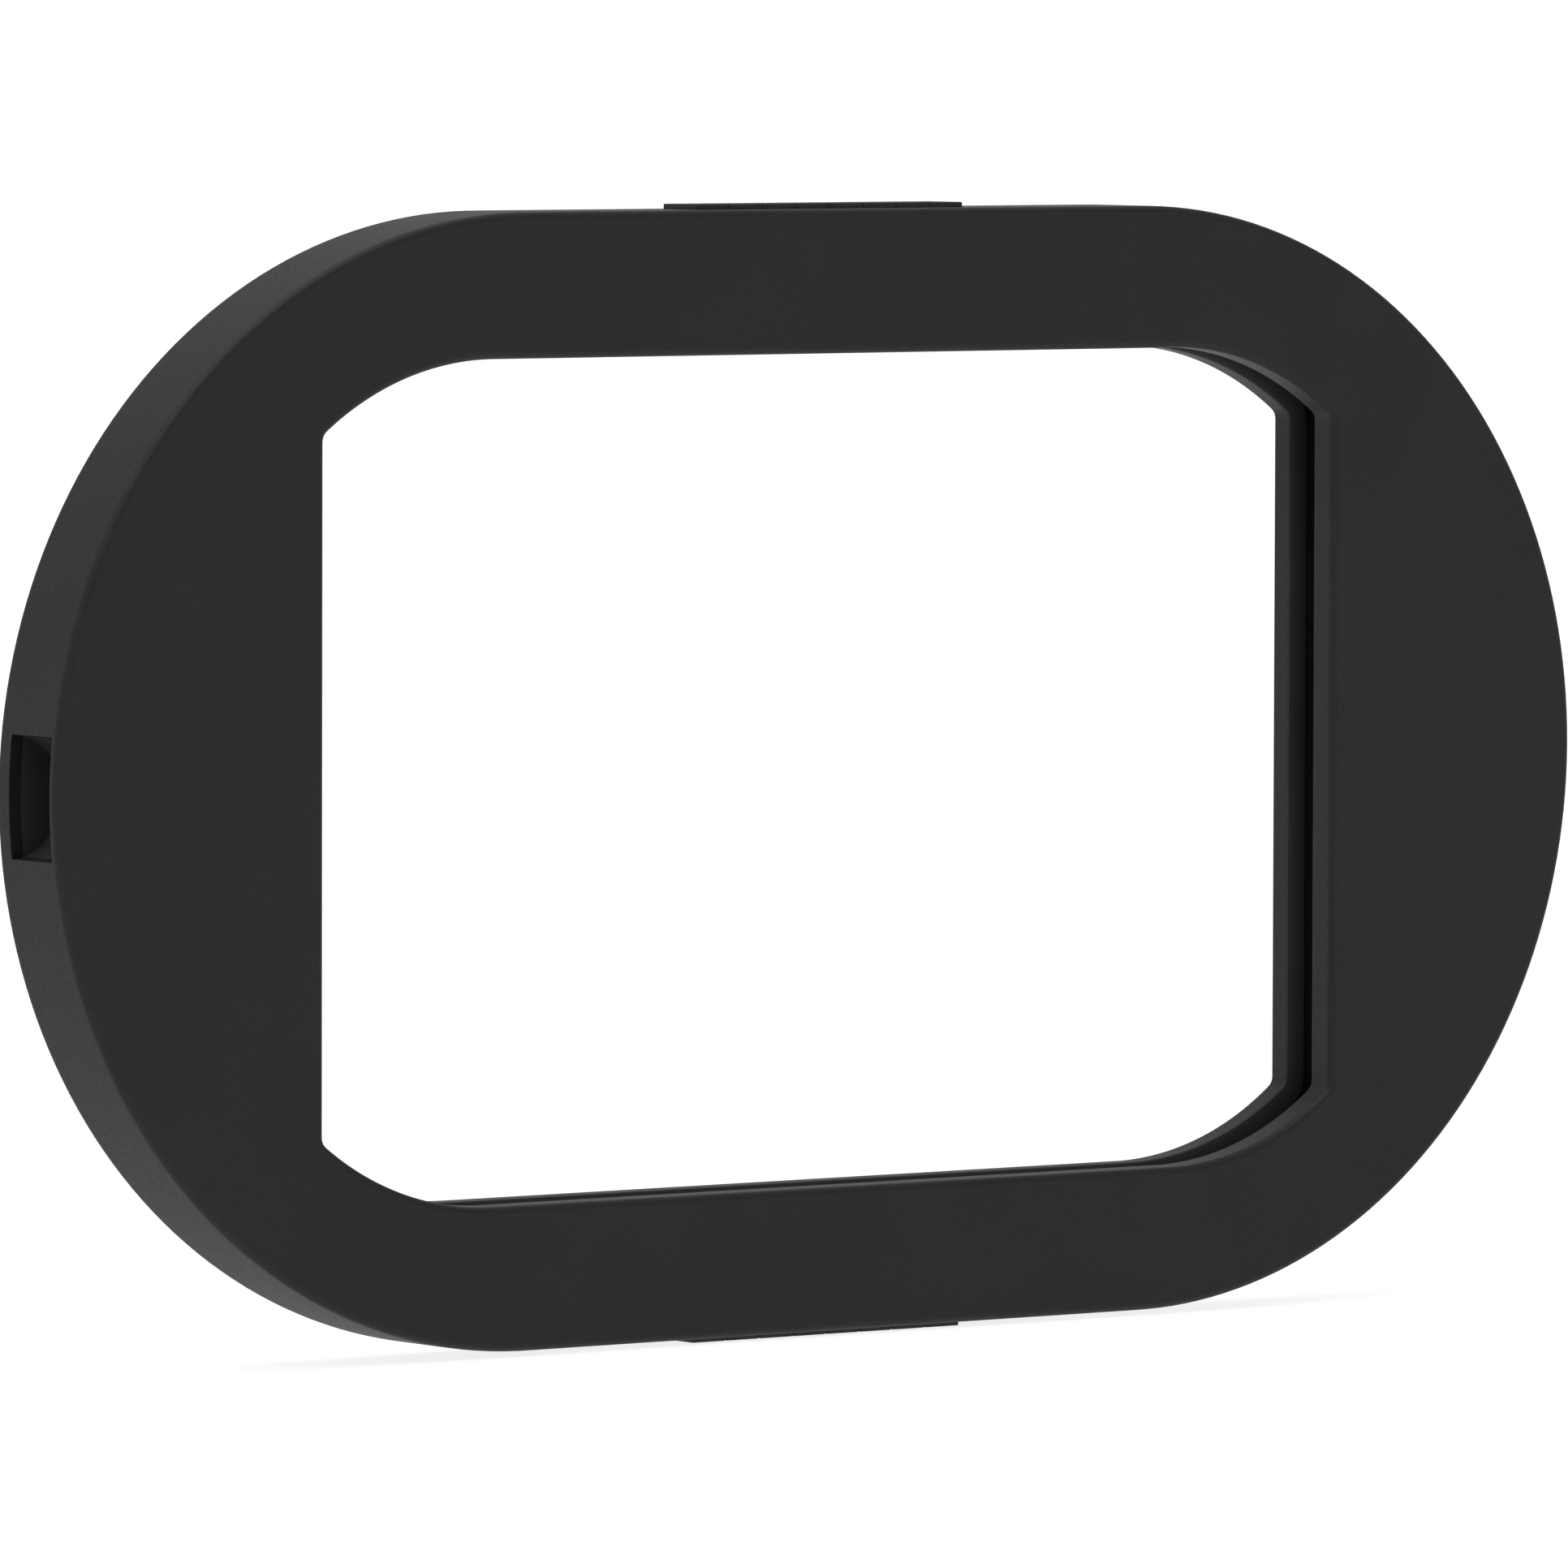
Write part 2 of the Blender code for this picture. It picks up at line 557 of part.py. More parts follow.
def magnet():
    """A disc magnet about the middle of its front face."""
    profile = [(0.0, MAGNET), (MAGNET_RADIUS, MAGNET), (MAGNET_RADIUS, 0.0), (0.0, 0.0)]
    return turned("magnet", profile, MAGNET_STEPS)


def grip_strip():
    """The raised strip on the upper edge: a sunk base with a row of blocks."""
    low = END_RADIUS - STRIP_SUNK + GAP
    high = END_RADIUS + STRIP_RISE
    across = (-STRIP_HALF_LENGTH, STRIP_HALF_LENGTH)
    t = (STRIP_FRONT, STRIP_FRONT + STRIP_DEPTH)
    strip = block("grip_strip", across, t, (low, high))
    pitch = 2 * STRIP_HALF_LENGTH / STRIP_BLOCKS
    between = (t[0] - BEYOND, t[1] + BEYOND)
    for i in range(1, STRIP_BLOCKS):
        x = i * pitch - STRIP_HALF_LENGTH
        groove = (x - STRIP_GROOVE / 2, x + STRIP_GROOVE / 2)
        cut(strip, block(f"groove_{i}", groove, between, (END_RADIUS, high + BEYOND)))
    return strip


def soft_edge(name, x, t, z):
    return block(name, x, t, z, SOFT_EDGE_ROUND)


def copies(mesh, surface, names_and_places, turn=(0.0, 0.0, 0.0)):
    """Objects that share one mesh, each at its own place."""
    for name, place in names_and_places:
        obj = finish(put(name, mesh, place), surface)
        obj.rotation_euler = turn


def sliding_pair(sides, start, pieces):
    """Puts pieces on an empty at `start`, and the same pieces half a turn about the Y axis from it."""
    middle = Vector((0.0, 0.0, CENTRE_HEIGHT * MM))
    shared = [(name, finished_mesh(obj, start), surface) for name, obj, surface in pieces]
    for side, turn in zip(sides, (0.0, pi)):
        slide = bpy.data.objects.new(side + "_leaf_slide", None)
        slide.empty_display_size = SIDE_TRAVEL * MM
        slide.location = middle + Matrix.Rotation(turn, 3, "Y") @ (start - middle)
        slide.rotation_euler.y = turn
        PARTS.objects.link(slide)
        for name, mesh, surface in shared:
            obj = finish(put(f"{side}_{name}", mesh), surface)
            obj.parent = slide


def build():
    plastic = material("moulded black plastic", (0.028, 0.028, 0.029), 0.55)
    inner_plastic = material("black acetal", (0.02, 0.02, 0.02), 0.4)
    sheet = material("black anodised sheet", (0.03, 0.03, 0.032), 0.4, 0.9)
    soft = material("black rubber", (0.018, 0.018, 0.018), 0.8)
    steel = material("zinc plated steel", (0.5, 0.5, 0.5), 0.35, 1.0)
    black_steel = material("blackened steel", (0.05, 0.05, 0.05), 0.4, 1.0)
    nickel = material("nickel plate", (0.6, 0.58, 0.55), 0.25, 1.0)

    front_cover(plastic)
    rear_cover(plastic)
    divider_plate(sheet)

    edge_half = SIDE_ARM_INNER - OVERLAP
    x = (-SIDE_EDGE_X - SOFT_EDGE_WIDTH, -SIDE_EDGE_X)
    t = (SIDE_EDGE_FRONT, SIDE_EDGE_FRONT + SOFT_EDGE_DEPTH)
    side_pieces = [
        ("leaf", side_leaf(), sheet),
        ("leaf_soft_edge", soft_edge("side_edge", x, t, (-edge_half, edge_half)), soft),
        ("thumb_cup", thumb_cup(), plastic),
        ("upper_rivet", rivet(RIVET_SPREAD), nickel),
        ("lower_rivet", rivet(-RIVET_SPREAD), nickel),
    ]
    start = Vector((-SIDE_LEAF_X * MM, depth(SIDE_LEAF_FRONT), CENTRE_HEIGHT * MM))
    sliding_pair(("left", "right"), start, side_pieces)

    edge_half = TOP_ARM_INNER - OVERLAP
    z = (TOP_EDGE_Z, TOP_EDGE_Z + SOFT_EDGE_WIDTH)
    t = (TOP_EDGE_REAR - SOFT_EDGE_DEPTH, TOP_EDGE_REAR)
    top_pieces = [
        ("leaf", top_leaf(), sheet),
        ("leaf_soft_edge", soft_edge("top_edge", (-edge_half, edge_half), t, z), soft),
    ]
    start = Vector((0.0, depth(TOP_LEAF_FRONT), (CENTRE_HEIGHT + TOP_LEAF_Z) * MM))
    sliding_pair(("top", "bottom"), start, top_pieces)

    over = (0.0, pi, 0.0)
    middle = Vector((0.0, 0.0, CENTRE_HEIGHT * MM))
    for here, opposite, piece, surface in (
        ("top_rail", "bottom_rail", top_rail(), inner_plastic),
        ("left_upper_rail", "right_lower_rail", side_rail("upper", 1), inner_plastic),
        ("left_lower_rail", "right_upper_rail", side_rail("lower", -1), inner_plastic),
        ("top_grip_strip", "bottom_grip_strip", grip_strip(), soft),
    ):
        mesh = finished_mesh(piece, middle)
        copies(mesh, surface, [(here, middle)])
        copies(mesh, surface, [(opposite, middle)], over)

    crest, feet = SIDE_LEAF_FRONT - GAP - SPRING / 2, FRONT_PLATE + GAP + SPRING / 2
    side_spring = finished_mesh(spring("side_spring", crest, feet, SIDE_SPRING_WIDTH))
    crest, feet = TOP_LEAF_REAR + GAP + SPRING / 2, BACK_INSIDE - GAP - SPRING / 2
    top_spring = finished_mesh(spring("top_spring", crest, feet, TOP_SPRING_WIDTH))
    spring_x, spring_z = SIDE_LEAF_X + SIDE_SPRING_SHIFT, TOP_LEAF_Z + TOP_SPRING_SHIFT
    upright = []
    level = []
    for name, way in (("left", -1), ("right", 1)):
        upright.append((f"{name}_upper_spring", at(way * spring_x, SIDE_SPRING_Z)))
        upright.append((f"{name}_lower_spring", at(way * spring_x, -SIDE_SPRING_Z)))
        level.append((f"top_{name}_spring", at(way * TOP_SPRING_X, spring_z)))
        level.append((f"bottom_{name}_spring", at(way * TOP_SPRING_X, -spring_z)))
    copies(side_spring, steel, upright, (0.0, pi / 2, 0.0))
    copies(top_spring, steel, level)

    bosses = BAR_BOSSES + END_BOSSES
    screws = [(f"cover_screw_{i}", at(x, z, depth(HEAD_FRONT))) for i, (x, z) in enumerate(bosses, 1)]
    copies(finished_mesh(screw()), black_steel, screws)
    magnets = [(f"magnet_{i}", at(x, z, depth(MAGNET_FRONT))) for i, (x, z) in enumerate(MAGNETS, 1)]
    copies(finished_mesh(magnet()), nickel, magnets)


for old in list(bpy.data.objects):
    bpy.data.objects.remove(old)
PARTS = bpy.data.collections.new("barn_door_attachment")
CUTTERS = bpy.data.collections.new("cutters")
for collection in (PARTS, CUTTERS):
    bpy.context.scene.collection.children.link(collection)
build()
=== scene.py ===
from math import atan2, cos, pi, radians, sin, sqrt

import bmesh
import bpy
import numpy as np
from mathutils import Matrix, Vector


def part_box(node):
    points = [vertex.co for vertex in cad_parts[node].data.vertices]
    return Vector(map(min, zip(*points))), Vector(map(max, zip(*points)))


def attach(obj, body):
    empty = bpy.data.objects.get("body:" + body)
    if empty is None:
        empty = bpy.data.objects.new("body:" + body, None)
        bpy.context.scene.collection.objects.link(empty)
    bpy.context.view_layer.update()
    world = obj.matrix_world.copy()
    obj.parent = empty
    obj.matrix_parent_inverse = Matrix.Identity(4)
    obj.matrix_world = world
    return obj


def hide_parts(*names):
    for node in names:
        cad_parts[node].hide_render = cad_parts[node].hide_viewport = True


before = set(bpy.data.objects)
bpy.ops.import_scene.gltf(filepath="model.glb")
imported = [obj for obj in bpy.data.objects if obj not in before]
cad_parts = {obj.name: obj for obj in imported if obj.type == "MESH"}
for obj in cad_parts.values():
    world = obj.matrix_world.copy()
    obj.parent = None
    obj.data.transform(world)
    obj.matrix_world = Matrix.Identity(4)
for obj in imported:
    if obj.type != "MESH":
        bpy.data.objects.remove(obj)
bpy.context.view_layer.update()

mm = 0.001

# Depths are counted in mm from the front face, which looks towards -Y.
shellLow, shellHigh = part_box("front_cover")
frontY, depth = shellLow.y, (shellHigh.y - shellLow.y) / mm
centreZ = (shellLow.z + shellHigh.z) / 2
endRadius = (shellHigh.z - shellLow.z) / 2 / mm
halfLength = (shellHigh.x - shellLow.x) / 2 / mm
halfStraight = halfLength - endRadius
beyond = 4.0  # how far a cutter runs past a face, mm
overlap = 1.0  # how far a post or a hole runs past the face that it meets, mm
roundSides = dict(hole=24, boss=40, recess=48, notch=144)
smoothUpTo = 32  # degrees between faces that shade as one surface


def place(across, t, up):  # mm beside, behind and above the opening's middle, to metres in the frame
    return np.stack([across * mm, frontY + t * mm, centreZ + up * mm], axis=-1)


def makeObject(name, points, faces):
    mesh = bpy.data.meshes.new(name)
    mesh.from_pydata(points.reshape(-1, 3).tolist(), [], faces)
    mesh.update()
    piece = bpy.data.objects.new(name, mesh)
    bpy.context.scene.collection.objects.link(piece)
    return piece


def gridFaces(rows, columns, closeRows, closeColumns):
    # Each cell joins a point to the next in its row and the two under them.
    # A closed way runs on to its start.
    down, over = np.arange(rows - (not closeRows)), np.arange(columns - (not closeColumns))
    row, column = np.meshgrid(down, over, indexing="ij")
    here, below, beside = row * columns, (row + 1) % rows * columns, (column + 1) % columns
    return np.stack([here + column, here + beside, below + beside, below + column], -1).reshape(-1, 4)


def gridPiece(name, points, closeRows=False, capEnds=False):
    # A closed surface on a grid: every row is a ring, and the rows either join up or end in flat caps.
    rows, columns = points.shape[:2]
    cells = gridFaces(rows, columns, closeRows, True)
    corner = points.reshape(-1, 3)[cells]
    middle = points.reshape(-1, 3).mean(axis=0)
    spread = np.cross(corner[:, 2] - corner[:, 0], corner[:, 3] - corner[:, 1])
    outward = np.sum(spread * (corner.mean(axis=1) - middle)) > 0
    faces = (cells if outward else cells[:, ::-1]).tolist()
    if capEnds:
        first, last = list(range(columns)), list(range((rows - 1) * columns, rows * columns))
        faces += [first[::-1], last] if outward else [first, last[::-1]]
    return makeObject(name, points, faces)


def posts(name, places, radius, front, rear, sides=72):
    # Round posts along the depth: a ring about each place, at two depths, with flat ends.
    turn = np.linspace(0, 2 * pi, sides, endpoint=False)
    points, faces = [], []
    for x, z in places:
        start = len(points) * sides
        ring = np.stack([x + radius * np.cos(turn), z + radius * np.sin(turn)], -1)
        points += [place(ring[:, 0], np.full(sides, t), ring[:, 1]) for t in (front, rear)]
        faces += (gridFaces(2, sides, False, True)[:, ::-1] + start).tolist()
        faces.append([start + i for i in range(sides)])
        faces.append([start + sides + i for i in range(sides)][::-1])
    made = makeObject(name, np.concatenate(points), faces)
    return facingOut(made)


def blocks(name, boxes, front, rear):
    # Square-edged blocks between two depths, from left, right, low and high.
    corners = [(0, 2), (1, 2), (1, 3), (0, 3)]
    points = [[box[i], t, box[j]] for box in boxes for t in (front, rear) for i, j in corners]
    sides = [(0, 1, 2, 3), (7, 6, 5, 4), (0, 4, 5, 1), (1, 5, 6, 2), (2, 6, 7, 3), (3, 7, 4, 0)]
    faces = [[8 * n + i for i in side] for n in range(len(boxes)) for side in sides]
    points = np.array(points)
    return facingOut(makeObject(name, place(points[:, 0], points[:, 1], points[:, 2]), faces))


def facingOut(piece):  # turns every shell of a mesh so that its faces point outwards
    work = bmesh.new()
    work.from_mesh(piece.data)
    bmesh.ops.recalc_face_normals(work, faces=work.faces)
    work.to_mesh(piece.data)
    work.free()
    return piece


def carve(piece, tool, way="DIFFERENCE"):  # cuts, joins or trims at once, and leaves no modifier
    change = piece.modifiers.new("carve", "BOOLEAN")
    change.operation, change.object, change.solver = way, tool, "EXACT"
    bpy.context.view_layer.update()
    made = bpy.data.meshes.new_from_object(piece.evaluated_get(bpy.context.evaluated_depsgraph_get()))
    piece.modifiers.clear()
    piece.data = made
    bpy.data.objects.remove(tool)
    return piece


def finishPiece(piece, finish, body, slotName, *nodes):
    piece.data.materials.clear()
    piece.data.materials.append(finish)
    piece.data.shade_smooth()
    piece.data.set_sharp_from_angle(angle=radians(smoothUpTo))
    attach(piece, body)
    if nodes:
        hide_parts(*nodes)
    return piece


def linear(hexColour):  # sRGB hex to linear light
    part = np.array([int(hexColour[i:i + 2], 16) for i in (1, 3, 5)]) / 255
    light = np.where(part <= 0.04045, part / 12.92, ((part + 0.055) / 1.055) ** 2.4)
    return (*light.tolist(), 1.0)


def addNode(tree, kind, settings=None, values=None, links=None):
    node = tree.nodes.new(kind)
    for key, value in (settings or {}).items():
        setattr(node, key, value)
    for key, value in (values or {}).items():
        node.inputs[key].default_value = value
    for key, socket in (links or {}).items():
        tree.links.new(socket, node.inputs[key])
    return node


def startFinish(name, fixed):
    finish = bpy.data.materials.new(name)
    finish.use_nodes = True
    tree = finish.node_tree
    shader = tree.nodes["Principled BSDF"]
    for key, value in fixed.items():
        shader.inputs[key].default_value = value
    where = addNode(tree, "ShaderNodeTexCoord").outputs["Object"]
    return finish, tree, shader, where


def ramp(tree, amount, stops):  # colours or greys between the ends of a pattern
    node = addNode(tree, "ShaderNodeValToRGB", links={"Fac": amount})
    node.color_ramp.elements[0].position, node.color_ramp.elements[0].color = stops[0]
    node.color_ramp.elements[1].position, node.color_ramp.elements[1].color = stops[1]
    return node.outputs["Color"]


# How rough a noise is, and between which of its values the roughness and the colour change.
noise = dict(roughness=0.55, low=0.3, high=0.7, colourLow=0.35, colourHigh=0.65)


def grain(tree, where, size, detail=3.0, stretch=(1.0, 1.0, 1.0)):  # marks about this many mm wide
    scaled = addNode(tree, "ShaderNodeMapping", values={"Scale": stretch}, links={"Vector": where})
    values = {"Scale": 1 / (size * mm), "Detail": detail, "Roughness": noise["roughness"]}
    links = {"Vector": scaled.outputs["Vector"]}
    return addNode(tree, "ShaderNodeTexNoise", values=values, links=links).outputs["Fac"]


def range01(tree, amount, low, high):
    values = {"From Min": noise["low"], "From Max": noise["high"], "To Min": low, "To Max": high}
    return addNode(tree, "ShaderNodeMapRange", values=values, links={"Value": amount}).outputs["Result"]


def spread(tree, shader, where, spec):  # colour and roughness drift over the surface, with a fine relief
    drift = grain(tree, where, spec["driftSize"], 2.0)
    dark, light = linear(spec["dark"]), linear(spec["light"])
    shade = ramp(tree, drift, ((noise["colourLow"], dark), (noise["colourHigh"], light)))
    tree.links.new(shade, shader.inputs["Base Color"])
    fine = grain(tree, where, spec["grainSize"], 3.0, spec.get("stretch", (1.0, 1.0, 1.0)))
    low, high = spec["roughness"]
    tree.links.new(range01(tree, fine, low, high), shader.inputs["Roughness"])
    values = {"Strength": spec["relief"], "Distance": spec["height"] * mm}
    bump = addNode(tree, "ShaderNodeBump", values=values, links={"Height": fine})
    tree.links.new(bump.outputs["Normal"], shader.inputs["Normal"])


def surface(name, spec, **fixed):
    finish, tree, shader, where = startFinish(name, fixed)
    spread(tree, shader, where, spec)
    return finish


# ABS moulded against a spark-eroded mould: an even satin black, a little greyer where light grazes.
housingSpec = dict(
    dark="#111112", light="#141415", driftSize=24.0, grainSize=0.55, roughness=(0.52, 0.64),
    relief=0.10, height=0.05,
)
mouldedBlack = surface("satin moulded ABS", housingSpec, **{"IOR": 1.5, "Specular IOR Level": 0.32})
# The same resin in a lighter grey, for the thumb cups and the inner side of the rear cover. On the rear
# cover's inner side the lighter grey is painted light: it brightens the groove, which lies in shade.
cupAndGroovePaintedLightSpec = dict(housingSpec, dark="#29292a", light="#2e2e2f", roughness=(0.5, 0.62))
cupAndGroovePaintedLight = surface("matt moulded ABS for cups and painted groove light", cupAndGroovePaintedLightSpec, **{"IOR": 1.5, "Specular IOR Level": 0.4})
# Rails of black acetal, which is waxy and more even.
railSpec = dict(
    dark="#121212", light="#171717", driftSize=16.0, grainSize=0.9, roughness=(0.34, 0.42), relief=0.05,
    height=0.03,
)
acetalBlack = surface("moulded acetal", railSpec, IOR=1.48, Metallic=0.0)
# Rolled aluminium sheet, brushed and black anodised: fine streaks along X on all leaves, soft sheen.
leafSpec = dict(
    dark="#202022", light="#232325", driftSize=30.0, grainSize=0.5, stretch=(0.03, 1.0, 1.0),
    roughness=(0.38, 0.46), relief=0.08, height=0.02,
)
anodisedBlack = surface("black anodised aluminium", leafSpec, Metallic=0.75)
# Thermoplastic rubber, moulded matt, which takes up dust: almost no highlight.
rubberSpec = dict(
    dark="#1c1c1c", light="#242424", driftSize=8.0, grainSize=0.6, roughness=(0.62, 0.78), relief=0.18,
    height=0.06,
)
mattRubber = surface("matt thermoplastic rubber", rubberSpec, IOR=1.5, Metallic=0.0)
# Spring strip, rolled bright: plain grey steel with fine lines along X.
springSpec = dict(
    dark="#6d7078", light="#8a8d94", driftSize=5.0, grainSize=0.4, stretch=(0.05, 1.0, 1.0),
    roughness=(0.24, 0.36), relief=0.06, height=0.02,
)
springSteel = surface("rolled spring steel", springSpec, Metallic=1.0)
# Socket screws with an oiled black oxide coat.
screwSpec = dict(
    dark="#2b2b2d", light="#3a3a3c", driftSize=1.5, grainSize=0.3, roughness=(0.3, 0.46), relief=0.08,
    height=0.02,
)
blackOxide = surface("black oxide steel", screwSpec, Metallic=1.0)
# Nickel plated magnets: bright, faintly yellow, with soft polishing marks.
nickelSpec = dict(
    dark="#a39d92", light="#bdb7ab", driftSize=4.0, grainSize=0.35, roughness=(0.16, 0.28), relief=0.04,
    height=0.02,
)
brightNickel = surface("bright nickel plate", nickelSpec, Metallic=1.0)
# Plain aluminium rivets, cold headed: light grey and a little dull.
rivetSpec = dict(
    dark="#b2b3b4", light="#c4c5c6", driftSize=1.5, grainSize=0.3, roughness=(0.3, 0.42), relief=0.05,
    height=0.02,
)
plainAluminium = surface("cold headed aluminium", rivetSpec, Metallic=1.0)
print("finishes made")


aperture = dict(halfWidth=112.0, halfHeight=74.3, cornerRadius=58.7, cornerX=75.4, fillet=2.2)
shell = dict(
    wall=2.4, plate=1.8, rearPlate=1.9, lip=2.0, rearLipWide=4.2, frontLip=5.7, rearLip=4.6, edge=1.25,
    smallEdge=0.22, mouth=0.6, gap=0.3,
)
# How far from a rounded edge, from a lip's face and from the rear a flat face has its next point, mm.
hold = dict(edge=0.3, lip=0.6, rear=1.0)
notch = dict(radius=10.8, rearWall=3.3)
quarterSteps = 66
sideEnd, filletEnd = 0.3, 0.36  # shares of a quarter of the way round, where side and fillet end
bendShare = 0.78  # and where the round end gives way to the straight run


def quarterOutlines():
    # Outside: a circle of the end radius turned a quarter, then a straight run to the middle.
    # Opening: an upright side, a small fillet, a large corner arc that meets it, then a straight run.
    share = np.linspace(0, 1, quarterSteps + 1)
    radius, fillet = aperture["cornerRadius"], aperture["fillet"]
    cornerZ = aperture["halfHeight"] - radius
    filletX = aperture["halfWidth"] - fillet
    across = filletX - aperture["cornerX"]
    up = sqrt((radius - fillet) ** 2 - across ** 2)
    meet = atan2(up, across)
    turn = np.interp(share, [0, bendShare, 1], [0, pi / 2, pi / 2])
    outerX = np.interp(share, [0, bendShare, 1], [halfStraight, halfStraight, 0])
    outerX = outerX + endRadius * np.cos(turn)
    outer = np.stack([outerX, endRadius * np.sin(turn), np.cos(turn), np.sin(turn)], -1)
    stops = [0, sideEnd, filletEnd, bendShare, 1]
    turn = np.interp(share, stops, [0, 0, meet, pi / 2, pi / 2])
    onFillet = share < filletEnd
    middleX = np.where(onFillet, filletX, np.interp(share, [bendShare, 1], [aperture["cornerX"], 0]))
    middleZ = np.where(onFillet, np.interp(share, [0, sideEnd], [0, cornerZ + up]), cornerZ)
    reach = np.where(onFillet, fillet, radius)
    innerX, innerZ = middleX + reach * np.cos(turn), middleZ + reach * np.sin(turn)
    inner = np.stack([innerX, innerZ, np.cos(turn), np.sin(turn)], -1)
    return outer, inner


def allRound(quarter):  # the quarter mirrored across and then down, without repeating a point
    flipX, flipZ = np.array([-1, 1, -1, 1]), np.array([1, -1, 1, -1])
    half = np.concatenate([quarter, (quarter * flipX)[::-1][1:]])
    return np.concatenate([half, (half * flipZ)[::-1][1:-1]])


outline = [allRound(one) for one in quarterOutlines()]


def bend(which, d, t, radius, start, end, steps=7):
    # Part of a circle in the section. d is how far into the material it is from the outside (0) or the
    # opening (1), and t is the depth.
    turn = np.radians(np.linspace(start, end, steps + 1))
    return [(which, d + radius * c, t + radius * s) for c, s in zip(np.cos(turn), np.sin(turn))]


def sectionPiece(name, section):
    # Each row of the grid is one outline, drawn in or out along its own normals by d, at the depth t.
    rows = []
    for which, d, t in section:
        line = outline[which]
        ring = line[:, :2] + (d if which else -d) * line[:, 2:]
        rows.append(place(ring[:, 0], np.full(len(line), t), ring[:, 1]))
    piece = gridPiece(name, np.array(rows), closeRows=True)
    return facingOut(piece)


def nodeMiddle(name):  # across and up from the opening's middle, mm
    low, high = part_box(name)
    return ((low.x + high.x) / 2 / mm, ((low.z + high.z) / 2 - centreZ) / mm)


screwPlaces = [nodeMiddle(f"cover_screw_{i}") for i in range(1, 9)]
magnetPlaces = [nodeMiddle(f"magnet_{i}") for i in range(1, 7)]
boss = dict(radius=3.2, hole=1.55, rear=13.5, padFront=13.8, padRear=16.7, holeFront=6.4)
recess = dict(radius=2.6, seat=15.7)
pocket = dict(radius=6.5, hollow=5.3, front=13.2)
stripBed = dict(half=29.9, sunk=1.0, front=3.7, rear=13.9)


def frontShell():
    e, r, held = shell["smallEdge"], shell["edge"], hold["edge"]
    lip, wall, plate, frontLip = shell["lip"], shell["wall"], shell["plate"], shell["frontLip"]
    section = bend(0, e, depth - e, e, 90, 180, 3) + [(0, 0, depth - hold["rear"]), (0, 0, r + held)]
    section += bend(0, r, r, r, 180, 270, 9) + [(0, r + held, 0), (1, r + held, 0)]
    section += bend(1, r, r, r, 270, 180, 9) + [(1, 0, r + held), (1, 0, frontLip - hold["lip"])]
    section += bend(1, e, frontLip - e, e, 180, 90, 3) + bend(1, lip - e, frontLip - e, e, 90, 0, 3)
    section += [(1, lip, plate), (0, wall, plate)] + bend(0, wall - e, depth - e, e, 0, 90, 3)
    piece = sectionPiece("front_shell", section)
    hole, post = roundSides["hole"], roundSides["boss"]
    carve(piece, posts("bosses", screwPlaces, boss["radius"], plate - overlap, boss["rear"], post), "UNION")
    carve(piece, posts("boss_holes", screwPlaces, boss["hole"], boss["holeFront"], depth, hole))
    ends = [(-halfLength, 0.0), (halfLength, 0.0)]
    notchRear = depth - notch["rearWall"]
    carve(piece, posts("notches", ends, notch["radius"], plate, notchRear, roundSides["notch"]))
    floor = endRadius - stripBed["sunk"]
    across = (-stripBed["half"], stripBed["half"])
    beds = [(*across, floor, endRadius + beyond), (*across, -endRadius - beyond, -floor)]
    return carve(piece, blocks("beds", beds, stripBed["front"], stripBed["rear"]))


def rearShell():
    e, lip, gap, held = shell["smallEdge"], shell["rearLipWide"], shell["gap"], hold["edge"]
    inset, inside = shell["wall"] + gap, depth - shell["rearPlate"]
    groove = depth - shell["rearLip"]
    mouth = shell["mouth"]
    section = bend(0, inset + e, depth - e, e, 180, 90, 3)
    section += [(0, inset + e + held, depth), (1, mouth + held, depth)]
    section += bend(1, mouth, depth - mouth, mouth, 90, 180, 6)
    section += [(1, 0, depth - mouth - held), (1, 0, groove + hold["lip"])]
    section += bend(1, e, groove + e, e, 180, 270, 3) + bend(1, lip - e, groove + e, e, 270, 360, 3)
    section += [(1, lip, inside), (0, inset, inside)]
    piece = sectionPiece("rear_shell", section)
    padFront, seat, pocketFront = boss["padFront"], recess["seat"], pocket["front"]
    hole, post = roundSides["hole"], roundSides["boss"]
    carve(piece, posts("pads", screwPlaces, boss["radius"], padFront, boss["padRear"], post), "UNION")
    cut = posts("recesses", screwPlaces, recess["radius"], seat, depth + beyond, roundSides["recess"])
    carve(piece, cut)
    carve(piece, posts("pad_holes", screwPlaces, boss["hole"], padFront - beyond, seat + overlap, hole))
    pockets = posts("pockets", magnetPlaces, pocket["radius"], pocketFront, inside + overlap, post)
    carve(piece, pockets, "UNION")
    hollows = posts("hollows", magnetPlaces, pocket["hollow"], pocketFront - beyond, inside, post)
    return carve(piece, hollows)


finishPiece(frontShell(), mouldedBlack, "housing", "housing_plastic", "front_cover")
rear = finishPiece(rearShell(), mouldedBlack, "housing", "housing_plastic", "rear_cover")
rear.data.materials.append(cupAndGroovePaintedLight)  # its inner side, which looks forward into the groove, takes the lighter grey as painted light in that shaded groove
# Faces that look forward get the second slot, so the groove's shade is painted over with a lighter grey.
normals = np.zeros(len(rear.data.polygons) * 3, np.float32)
rear.data.polygons.foreach_get("normal", normals)
rear.data.polygons.foreach_set("material_index", (normals[1::3] < -0.5).astype(np.int32))
print("housing made")


cup = dict(
    wall=1.5, web=0.7, front=2.1, inset=2.45, tongue=10.0, tongueHalf=9.0, tongueFront=5.0,
    tongueRear=6.5, hole=1.5,
)


